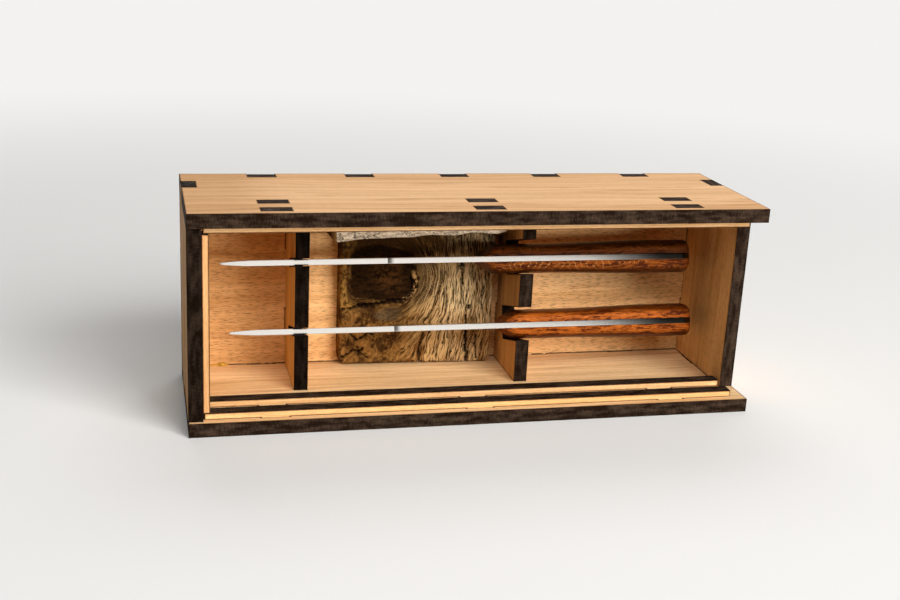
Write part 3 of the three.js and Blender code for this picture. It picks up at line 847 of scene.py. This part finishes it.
def handle_length(knife):
    low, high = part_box(f"{knife}_upper_scale")
    return high.x - low.x


def rivet_tree(material):
    """Rods through a handle, one on each point of the mesh, as long as the point says."""
    web, points, radius, chamfer, tilt = new_tree(
        "rivets_through_handle", ("Radius", "Chamfer", "Tilt")
    )
    line = web.put("GeometryNodeCurvePrimitiveLine", {"Start": (0, 0, -0.5), "End": (0, 0, 0.5)})
    line = web.put("GeometryNodeResampleCurve", {"Curve": line.outputs[0], "Count": 33})
    share = Value(web, web.put("GeometryNodeSplineParameter").outputs["Factor"])
    circle = web.put("GeometryNodeCurvePrimitiveCircle", {"Resolution": 32, "Radius": 1.0})
    rod = web.put("GeometryNodeCurveToMesh", {
        "Curve": line.outputs[0], "Profile Curve": circle.outputs[0], "Fill Caps": True,
        "Scale": radius - abs(share - 0.5).ease(0.46, 0.5) * chamfer,
    })
    rods = web.put("GeometryNodeInstanceOnPoints", {
        "Points": points, "Instance": rod.outputs[0], "Rotation": web.vector(tilt, 0.0, 0.0),
        "Scale": web.vector(1.0, 1.0, web.named("rod_length")),
    })
    return end_tree(web, rods.outputs[0], material)


# ---- Block of old wood ----


def spread(points, count):
    """That many points evenly along a line of points, without its last."""
    points = np.asarray(points, float)
    steps = np.concatenate([[0], np.cumsum(np.linalg.norm(np.diff(points, axis=0), axis=1))])
    at = np.linspace(0, steps[-1], count, endpoint=False)
    return np.stack([np.interp(at, steps, points[:, i]) for i in range(2)], axis=1)


def block_rings(settings):
    """Sections of the block across X, in metres: the slab's part folds away left of the slab."""
    low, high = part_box("wood_block")
    left, right, back, top = -56.225 * MM, high.x, high.y, high.z
    face_y, lean, side_round, left_foot, right_foot = (
        part * MM for part in (25.05, 2.7, 1.2, 4, 3)
    )
    ledge_end, lip_round, foot_round = 1.5 * MM, 1.2 * MM, 2.2 * MM
    ledge_y = low.y + 0.45 * MM

    # The top of the handle where it passes under the ledge's front
    half_stock, half_handle = 1.4 * MM, 7 * MM
    blade_low, blade_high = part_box("upper_knife_blade")
    spine_y = blade_low.y + half_stock * np.sin(KNIFE_TILT)
    spine_z = blade_high.z - half_stock * np.cos(KNIFE_TILT)
    slope = np.tan(KNIFE_TILT)
    handle_top = spine_z + half_handle / np.cos(KNIFE_TILT) - (ledge_y - spine_y) * slope

    # How many points each stretch of a section has; those in front follow from its millimetres
    grid = settings.grid
    foot_points, face_points, shelf_points, lip_points = (
        int(part * MM / grid) for part in (8, 74, 19, 13)
    )
    top_points, rear_points = 36, 60
    columns = [(x, 0.0) for x in np.arange(low.x, left, grid)]
    columns += [(left, share) for share in np.linspace(0, 1, 15)]
    columns += [(x, 1.0) for x in np.linspace(left, right, int((right - left) / grid))[1:]]
    rings = []
    for x, out in columns:
        # The slab's face, which leans back to the right, and its worn corners
        from_left, from_right = abs(x - left) if out else right - left, right - x
        face = face_y - lean * np.clip((x - left) / (right - left), 0, 1)
        face = face + corner_cut(from_left, side_round) + corner_cut(from_right, side_round)
        foot = low.z + corner_cut(from_left, left_foot) + corner_cut(from_right, right_foot)

        # The ledge's wavy front and its underside, which clears the handle
        share = (x - low.x) / (right - low.x)
        wave = np.sin(2 * pi * x / (19 * MM)) + np.sin(2 * pi * x / (23 * MM) + 1)
        ripple = 0.225 * MM * wave
        end = corner_cut(x - low.x, ledge_end)
        front = ledge_y + ripple + end
        ledge_low = handle_top + (0.9 + 3.9 * share**0.7) * MM + ripple + end * 0.6

        def under(y):
            return y, ledge_low - 2 * MM * (y - front) / (back - front)

        turns = np.linspace(0, pi / 2, 7)
        arc = [
            (face + foot_round * (1 - np.sin(a)), foot + foot_round * (1 - np.cos(a)))
            for a in turns
        ]
        lip = [
            under(front + lip_round), (front + lip_round * 0.3, ledge_low + lip_round * 0.3),
            (front, ledge_low + lip_round),
        ]
        slab = np.concatenate([
            spread([(back, foot), (face + foot_round, foot)], foot_points),
            spread([*arc, under(face)], face_points),
        ])
        folded = spread([under(back), under(face)], len(slab))
        rear = spread([(back, top), (back, foot)], rear_points)
        rear_folded = spread([(back, top), under(back)], rear_points)
        upright = front - ripple * 1.5
        section = np.concatenate([
            folded + (slab - folded) * out,
            spread([under(face), *lip], shelf_points),
            spread([lip[-1], (upright + 0.25 * MM, top - 0.4 * MM)], lip_points),
            spread([(upright + 0.6 * MM, top), (back, top)], top_points),
            rear_folded + (rear - rear_folded) * out,
        ])
        rings.append(np.column_stack([np.full(len(section), x), section]))
    return np.array(rings)


def put_attribute(mesh, name, values):
    layer = mesh.attributes.new(name, "FLOAT", "POINT")
    layer.data.foreach_set("value", np.asarray(values, np.float32))


def mark_block(mesh):
    """Says for each point how the fibres run there, and where knot, ledge and cracks are."""
    place = np.zeros(3 * len(mesh.vertices), np.float32)
    mesh.vertices.foreach_get("co", place)
    x, y, z = place.reshape(-1, 3).T.astype(float) / MM
    sway = 1.3 * np.sin(z / 7.1 + x / 13) + 0.8 * np.sin(z / 3.3 - x / 5.7)
    # The knot is a rounded oblong; the fibres part around it
    knot_x, knot_z, squareness = -35.5, 52.5, 3.6
    off_x = x - knot_x + sway * 0.6
    off_z = z - knot_z + 1.2 * np.sin(x / 5.3)
    wide, high = np.where(off_x > 0, 18.0, 16.5), 14.5
    knot = np.abs(off_x / wide) ** squareness + np.abs(off_z / high) ** squareness
    outside = np.maximum((off_x / 18) ** 2 + (off_z / 16) ** 2, 1)
    sweep = 0.4 * (1 - smooth_step(x, -36, -6)) * np.maximum(36 - z, 0)
    put_attribute(mesh, "flow", x - off_x / outside + sway * 0.35 + sweep)
    no_knot = 4.0
    put_attribute(mesh, "knot", np.where(y < 15, no_knot, knot ** (1 / squareness)))
    put_attribute(mesh, "ledge", 1 - smooth_step(y, 9.0, 17.0))
    crack = np.zeros(len(x))
    for points, half in BLOCK_CRACKS:
        points = np.array(points)
        for start, end in zip(points[:-1], points[1:]):
            run = end - start
            off_x, off_z = x - start[0], z - start[1]
            share = np.clip((off_x * run[0] + off_z * run[1]) / (run @ run), 0, 1)
            far = np.hypot(off_x - share * run[0], off_z - share * run[1])
            width = half * (1 + 0.35 * np.sin(x * 2.1 + z * 1.3) + 0.25 * np.sin(z * 3.7))
            crack = np.maximum(crack, 1 - smooth_step(far, width * 0.35, width * 1.5))
    on_face = (y > 18) & (y < 27.5)
    put_attribute(mesh, "crack", crack * on_face)


def block_tree(material):
    """Sinks the block's skin between its fibres, into its cracks and over its knot."""
    web, block, relief, crack_depth, knot_depth, seed = new_tree(
        "old_wood_relief", ("Relief", "Crack depth", "Knot depth", "Seed")
    )
    x, y, z = web.split(web.put("GeometryNodeInputPosition").outputs[0])
    x, y, z = (part / MM for part in (x, y, z))
    flow, knot, ledge, crack = map(web.named, ("flow", "knot", "ledge", "crack"))
    ridges = web.noise(web.vector(flow * 0.75 + seed, y * 0.75, z * 0.055), 4, 0.6)
    strips = web.noise(web.vector(flow * 0.23 + seed, y * 0.23, z * 0.018))
    split = web.noise(web.vector(flow * 0.34 - seed, y * 0.34, z * 0.022))
    where = web.noise(web.vector(x * 0.07, y * 0.07 + seed, z * 0.05), 1)
    split = abs(split - 0.5).ease(0.035, 0.0) * where.ease(0.42, 0.6)
    lumps = web.noise(web.vector(x * 0.30, y * 0.30, z * 0.30 + seed), 4, 0.6)
    wrinkles = web.noise(web.vector(x * 0.10 + z * 0.06, y * 0.6 + seed, z * 0.62), 4, 0.6)

    core = knot.ease(1.06, 0.88)
    sunk = (1 - ridges) * 1.1 + (1 - strips) * 0.7 + split * 1.2
    sunk = sunk * (1 - core) + (1 - lumps) * 1.4 * core
    sunk = sunk * (1 - ledge) + ((1 - wrinkles) * 2.4 + (1 - lumps) * 0.5) * ledge
    depth = relief * sunk.greatest(0.0) + knot_depth * core + crack_depth * crack
    hollow = ((sunk - 0.75) * 1.4).clamped()
    stored = web.put("GeometryNodeStoreNamedAttribute", {
        "Geometry": block, "Name": "hollow", "Value": hollow,
    }, data_type="FLOAT")
    inward = web.put("ShaderNodeVectorMath", {
        0: web.put("GeometryNodeInputNormal").outputs[0], "Scale": depth * -1.0,
    }, operation="SCALE")
    shaped = web.put("GeometryNodeSetPosition", {
        "Geometry": stored.outputs[0], "Offset": inward.outputs[0],
    })
    return end_tree(web, shaped.outputs[0], material)


# ---- Operators ----


class CASE_OT_panels(bpy.types.Operator):
    """Cut the top, bottom, back and end panels"""

    bl_idname = "knife_case.panels"
    bl_label = "Cut panels"

    def execute(self, context):
        add_sheets(PANELS, "beech", context.scene.case_sheets)
        return {"FINISHED"}


class CASE_OT_dividers(bpy.types.Operator):
    """Cut the two dividers that hold the knives"""

    bl_idname = "knife_case.dividers"
    bl_label = "Cut dividers"

    def execute(self, context):
        add_sheets(DIVIDERS, "divider_wood", context.scene.case_sheets)
        return {"FINISHED"}


class CASE_OT_rails(bpy.types.Operator):
    """Cut the four rails of the lid groove and the stop strip"""

    bl_idname = "knife_case.rails"
    bl_label = "Cut rails"

    def execute(self, context):
        add_sheets(RAILS, "beech", context.scene.case_sheets)
        return {"FINISHED"}


class CASE_OT_blades(bpy.types.Operator):
    """Grind the two blades with their tangs"""

    bl_idname = "knife_case.blades"
    bl_label = "Grind blades"

    def execute(self, context):
        settings = context.scene.case_knives
        for knife in KNIVES:
            name = f"{knife}_steel"
            low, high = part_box(f"{knife}_blade")
            rings = blade_rings(high.x - low.x, handle_length(knife), settings)
            mesh = loft(name, laid(rings, knife_place(knife, settings)), 38)
            steel = blade_finish(name, settings, low.x, high.x)
            keep_piece(name, mesh, steel, knife, "steel", f"{knife}_blade")
        return {"FINISHED"}


class CASE_OT_scales(bpy.types.Operator):
    """Shape the wooden scales of the two handles"""

    bl_idname = "knife_case.scales"
    bl_label = "Shape handle scales"

    def execute(self, context):
        settings = context.scene.case_knives
        dark, red = settings.dark_handle, settings.red_handle
        for knife, half, wood, glow, curls, seed in (
            # The upper knife's upper scale is its wood at 0.36: painted shade from the top panel
            ("upper_knife", "upper", toned(dark, 0.36), 0.4, 0.2, 2),
            ("upper_knife", "lower", dark, 0.7, 0.7, 5),
            ("lower_knife", "upper", red, 0.9, 0.10, 9),
            ("lower_knife", "lower", red, 1.0, 0.15, 14),
        ):
            name = f"{knife}_{half}"
            side = 1 if half == "upper" else -1
            place = knife_place(knife, settings)
            tang = (Matrix.Rotation(KNIFE_TILT, 3, "X") @ place.translation).z / MM
            material = handle_finish(f"{name}_oiled", wood, glow, curls, seed, tang, side)
            rings = laid(scale_rings(handle_length(knife), side, settings), place)
            mesh = loft(f"{name}_wood", rings, 50)
            slot = "dark_handle_wood" if knife == "upper_knife" else "red_handle_wood"
            keep_piece(f"{name}_wood", mesh, material, knife, slot, f"{name}_scale")
        return {"FINISHED"}


class CASE_OT_rivets(bpy.types.Operator):
    """Set the rivets that hold the scales to the tangs"""

    bl_idname = "knife_case.rivets"
    bl_label = "Set rivets"

    def execute(self, context):
        settings = context.scene.case_knives
        end_distance, proud, chamfer = 18 * MM, 0.33 * MM, 0.25 * MM
        steel = steel_finish("rivet_steel", settings)[0].material
        tree = rivet_tree(steel)
        for knife in KNIVES:
            name = f"{knife}_rivets"
            handle, place = handle_length(knife), knife_place(knife, settings)
            spots, lengths = [], []
            for from_butt in np.linspace(end_distance, handle - end_distance, settings.rivets):
                spine, belly = handle_sides(from_butt, handle, settings)
                rise = scale_rise(from_butt, handle, settings)
                spots.append(place @ Vector((-from_butt, (spine + belly) / 2, 0)))
                lengths.append(settings.stock + 2 * (rise + proud))
            mesh = bpy.data.meshes.new(f"{name}_places")
            mesh.from_pydata(spots, [], [])
            put_attribute(mesh, "rod_length", lengths)
            made = grow(name, mesh, tree, {
                "Radius": settings.rivet / 2, "Chamfer": chamfer, "Tilt": -KNIFE_TILT,
            })
            nodes = [f"{knife}_rivet_{i + 1}" for i in range(3)]
            keep_piece(name, made, steel, knife, "steel", *nodes)
        return {"FINISHED"}


class CASE_OT_block(bpy.types.Operator):
    """Weather the block of old wood behind the knives"""

    bl_idname = "knife_case.block"
    bl_label = "Weather wood block"

    def execute(self, context):
        settings = context.scene.case_block
        material = old_wood_finish("old_wood", settings)
        mesh = loft("old_wood_block", block_rings(settings), 80)
        mark_block(mesh)
        made = grow("old_wood_block", mesh, block_tree(material), {
            "Relief": settings.relief, "Crack depth": settings.crack_depth,
            "Knot depth": settings.knot_depth, "Seed": settings.seed,
        })
        keep_piece("old_wood_block", made, material, "case", "old_wood", "wood_block")
        return {"FINISHED"}


class CASE_OT_glue(bpy.types.Operator):
    """Leave a bead of dried glue in the rear left corner of the floor"""

    bl_idname = "knife_case.glue"
    bl_label = "Leave glue bead"

    def execute(self, context):
        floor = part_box("bottom_panel")[1].z
        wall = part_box("back_panel")[0].y
        start, run, thick, sunk = -121.5 * MM, 14 * MM, 0.95 * MM, 0.35
        turns = np.linspace(0, 2 * pi, 20, endpoint=False)
        rings = []
        for share in np.linspace(0.03, 0.97, 26):
            x = start + run * share
            fat = thick * np.sqrt(np.sin(pi * share)) * (1 + 0.55 * np.sin(share * 9.5 + 0.6))
            rings.append([
                (x, wall + fat * (np.cos(a) - sunk), floor + fat * (np.sin(a) + sunk))
                for a in turns
            ])
        mesh = loft("glue_bead", rings, 60)
        keep_piece("glue_bead", mesh, glue_finish("amber_glue"), "case", None)
        return {"FINISHED"}


class CASE_OT_stage(bpy.types.Operator):
    """Set the floor, the lights and the camera"""

    bl_idname = "knife_case.stage"
    bl_label = "Set stage"

    def execute(self, context):
        settings = context.scene.case_stage
        scene = context.scene
        scene.view_settings.view_transform = "Standard"

        # Camera
        data = bpy.data.cameras.new("camera")
        data.lens, data.sensor_width = settings.lens, 36
        data.clip_start, data.clip_end = 0.01, 20
        camera = add_object("camera", data)
        place, target = Vector(settings.camera), Vector(settings.target)
        ahead = (target - place).normalized()
        level_right = ahead.cross(Vector((0, 0, 1))).normalized()
        upright = level_right.cross(ahead)
        right = level_right * np.cos(settings.roll) + upright * np.sin(settings.roll)
        turn = Matrix((right, right.cross(ahead), -ahead)).transposed()
        camera.matrix_world = Matrix.Translation(place) @ turn.to_4x4()
        scene.camera = camera

        # Floor, which runs into the background where it is seen far away, in millimetres
        fade_start, fade_end = 280, 1050
        shape = bmesh.new()
        bmesh.ops.create_circle(shape, cap_ends=True, segments=96, radius=4.0)
        mesh = bpy.data.meshes.new("floor")
        shape.to_mesh(mesh)
        shape.free()
        floor = add_object("floor", mesh)
        floor.location.z = case_low.z - 0.05 * MM
        paint = Finish("pale_floor", 0.0, Roughness=0.7)
        seen = seen_directly(paint)
        x, y, _ = paint.split(paint.place())
        far = seen * ((x * x + y * y) ** 0.5).ease(fade_start, fade_end)
        near = paint.mix(seen, settings.floor_light, settings.floor)
        paint.set("Base Color", paint.mix(far, near, (0.0, 0.0, 0.0)))
        paint.set("Emission Color", tuple(settings.background))
        paint.set("Emission Strength", far)
        mesh.materials.append(paint.material)

        # Lights: turn from the front and height in degrees; distance, width and height in metres
        for name, turn, height, distance, width, tall, strength in (
            ("key_light", 33, 32, 3.0, 1.7, 1.5, settings.key),
            ("fill_light", -4, 38, 3.0, 1.7, 1.5, settings.fill),
            ("low_light", 40, 5, 3.0, 1.6, 0.4, settings.low),
            ("rear_light", 168, 52, 3.4, 2.4, 1.6, settings.rear),
        ):
            lamp = bpy.data.lights.new(name, "AREA")
            lamp.shape, lamp.size, lamp.size_y = "RECTANGLE", width, tall
            lamp.energy = strength * pi**2 * distance**2
            light = add_object(name, lamp)
            turn, height = radians(turn), radians(height)
            level_way = Vector((np.sin(turn), -np.cos(turn), 0))
            way = level_way * np.cos(height) + Vector((0, 0, np.sin(height)))
            light.location = Vector((0, 0, 50 * MM)) + way * distance
            light.rotation_mode = "QUATERNION"
            light.rotation_quaternion = (-way).to_track_quat("-Z", "Y")
            light.visible_camera = light.visible_glossy = False

        # World: a plain light from all round, and a pale background with dark screens at both
        # sides of the front, which only reflections show
        world = bpy.data.worlds.new("studio")
        world.use_nodes = True
        scene.world = world
        web = Web(world.node_tree)
        web.tree.nodes.clear()
        around = web.put("ShaderNodeBackground", {
            "Color": (1.0, 0.94, 0.87), "Strength": settings.ambient,
        })
        x, y, z = web.split(web.put("ShaderNodeTexCoord").outputs["Generated"])
        turn = x.math("ARCTAN2", x, y * -1.0) * (180 / pi)
        right = turn.ease(19, 24) * turn.ease(160, 130)
        left = turn.ease(-8, -26) * turn.ease(-150, -120)
        screen = (right + left * 0.75) * z.ease(-0.3, -0.1) * z.ease(0.75, 0.55)
        screen = screen * Value(web, web.put("ShaderNodeLightPath").outputs["Is Glossy Ray"])
        shown = web.mix(screen, settings.background, settings.screen)
        backdrop = web.put("ShaderNodeBackground", {"Color": shown, "Strength": 1.0})
        plugs = {0: seen_directly(web), 1: around.outputs[0], 2: backdrop.outputs[0]}
        both = web.put("ShaderNodeMixShader", plugs)
        web.put("ShaderNodeOutputWorld", {0: both.outputs[0]})
        return {"FINISHED"}


class CASE_PT_panel(bpy.types.Panel):
    """Steps that build the display case"""

    bl_idname = "CASE_PT_panel"
    bl_label = "Knife display case"
    bl_space_type = "VIEW_3D"
    bl_region_type = "UI"
    bl_category = "Knife case"

    def draw(self, context):
        for operator in OPERATORS:
            self.layout.operator(operator.bl_idname)
        for group in SETTINGS:
            box = self.layout.box()
            for name in SETTINGS[group].__annotations__:
                box.prop(getattr(context.scene, group), name)


SETTINGS = {
    "case_sheets": SheetSettings,
    "case_knives": KnifeSettings,
    "case_block": BlockSettings,
    "case_stage": StageSettings,
}
OPERATORS = (
    CASE_OT_stage, CASE_OT_panels, CASE_OT_dividers, CASE_OT_rails, CASE_OT_block,
    CASE_OT_blades, CASE_OT_scales, CASE_OT_rivets, CASE_OT_glue,
)


def register():
    for group in SETTINGS.values():
        bpy.utils.register_class(group)
    for entry in (*OPERATORS, CASE_PT_panel):
        bpy.utils.register_class(entry)
    for name, group in SETTINGS.items():
        setattr(bpy.types.Scene, name, PointerProperty(type=group))


def unregister():
    for name in SETTINGS:
        delattr(bpy.types.Scene, name)
    for entry in (CASE_PT_panel, *reversed(OPERATORS), *SETTINGS.values()):
        bpy.utils.unregister_class(entry)


def main():
    register()
    bpy.ops.knife_case.stage()
    bpy.ops.knife_case.panels()
    bpy.ops.knife_case.dividers()
    bpy.ops.knife_case.rails()
    bpy.ops.knife_case.block()
    bpy.ops.knife_case.blades()
    bpy.ops.knife_case.scales()
    bpy.ops.knife_case.rivets()
    bpy.ops.knife_case.glue()


if __name__ == "__main__":
    main()
